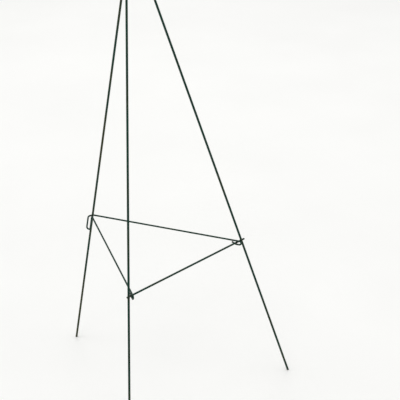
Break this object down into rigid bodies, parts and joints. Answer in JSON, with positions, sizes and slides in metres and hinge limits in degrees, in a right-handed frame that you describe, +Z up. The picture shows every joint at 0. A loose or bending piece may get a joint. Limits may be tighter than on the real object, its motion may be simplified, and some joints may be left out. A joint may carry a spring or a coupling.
{
  "type": "folding wire display easel",
  "caption": "Folding wire display easel: splayed front legs with a welded cross bar, a hinged rear leg ending in a hanging hook, and a thin wire spreader brace.",
  "frame": {"origin": "on the floor, in the middle of the three feet, under the hinge bolt", "axes": "+Z up, the front legs' side faces -Y, the hinge bolt and the cross bar lie along X"},
  "size_m": [0.4324, 0.3974, 0.8968],
  "materials": {
    "green_enamel": "dark green gloss enamel on drawn steel wire",
    "zinc_plate": "bright zinc plate"
  },
  "bodies": {
    "front_frame": {"front_left_leg": "green_enamel", "front_right_leg": "green_enamel", "cross_bar": "green_enamel", "cross_bar_welds": "green_enamel", "pivot_bolt": "zinc_plate", "pivot_washers": "zinc_plate", "pivot_nut": "zinc_plate"},
    "rear_leg": {"rear_leg": "green_enamel"},
    "spreader": {"spreader_brace": "green_enamel"}
  },
  "joints": [
    {"name": "rear_leg_fold", "type": "hinge", "parent": "front_frame", "child": "rear_leg", "pos_m": [0, 0, 0.8584], "axis": [-1, 0, 0], "range_deg": [0, 25]},
    {"name": "brace_fold", "type": "hinge", "parent": "front_frame", "child": "spreader", "pos_m": [0, -0.12641, 0.29052], "axis": [-1, 0, 0], "range_deg": [0, 101.6]}
  ],
  "couplings": [
    {"joint": "brace_fold", "follows": "rear_leg_fold", "ratio": 4.064}
  ]
}
